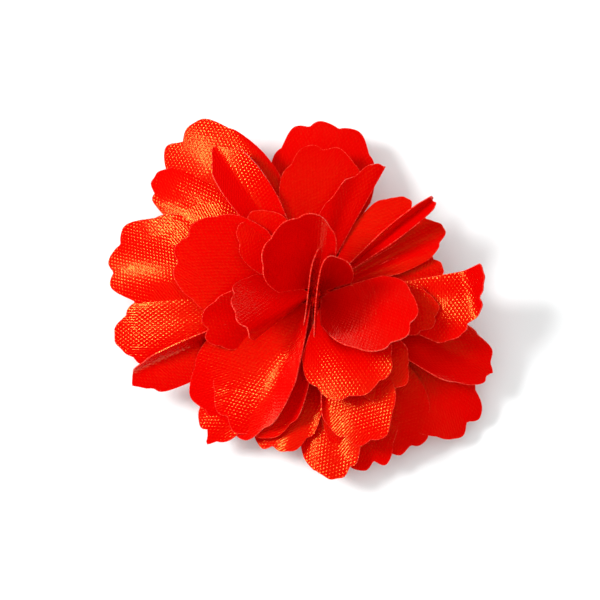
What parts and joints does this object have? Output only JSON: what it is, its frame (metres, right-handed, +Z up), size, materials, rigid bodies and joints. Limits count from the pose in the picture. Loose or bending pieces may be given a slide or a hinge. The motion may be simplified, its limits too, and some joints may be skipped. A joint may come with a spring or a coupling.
{
  "type": "flower hair clip",
  "caption": "Scalloped satin flower of layered petals sewn to a felt disc on a sprung steel alligator clip.",
  "frame": {"origin": "On the flat underside of the lower clip leaf, 3 mm towards the jaw tips from the flower's axis, which stands over the clip's middle", "axes": "+Z up out of the flower, +X along the clip from jaw tips to thumb levers, Y across the clip along the hinge pin"},
  "size_m": [0.0696, 0.066, 0.0317],
  "materials": {
    "satin": "glossy woven satin",
    "felt": "matt pressed felt",
    "thread": "twisted sewing thread",
    "hot_glue": "cloudy hot-melt glue",
    "clip_steel": "nickel-plated stamped sheet",
    "spring_steel": "bright drawn wire"
  },
  "bodies": {
    "lower_leaf": {"lower_jaw": "clip_steel", "hinge_pin": "clip_steel", "torsion_spring": "spring_steel"},
    "flower": {"upper_jaw": "clip_steel", "glue_pad": "hot_glue", "felt_disc": "felt", "sewn_core": "satin", "binding_thread": "thread", "outer_petal_01": "satin", "outer_petal_02": "satin", "outer_petal_03": "satin", "outer_petal_04": "satin", "outer_petal_05": "satin", "outer_petal_06": "satin", "outer_petal_07": "satin", "outer_petal_08": "satin", "outer_petal_09": "satin", "outer_petal_10": "satin", "outer_petal_11": "satin", "outer_petal_12": "satin", "outer_petal_13": "satin", "outer_petal_14": "satin", "outer_petal_15": "satin", "outer_petal_16": "satin", "outer_petal_17": "satin", "middle_petal_01": "satin", "middle_petal_02": "satin", "middle_petal_03": "satin", "middle_petal_04": "satin", "middle_petal_05": "satin", "middle_petal_06": "satin", "middle_petal_07": "satin", "middle_petal_08": "satin", "middle_petal_09": "satin", "middle_petal_10": "satin", "middle_petal_11": "satin", "middle_petal_12": "satin", "middle_petal_13": "satin", "inner_petal_01": "satin", "inner_petal_02": "satin", "inner_petal_03": "satin", "inner_petal_04": "satin", "inner_petal_05": "satin"}
  },
  "joints": [
    {"name": "jaw_hinge", "type": "hinge", "parent": "lower_leaf", "child": "flower", "pos_m": [0.013, 0, 0.0029], "axis": [0, 1, 0], "range_deg": [0, 26], "stiffness_Nm_per_rad": 0.1, "springref_deg": -5.73, "deforming": ["torsion_spring"]}
  ]
}
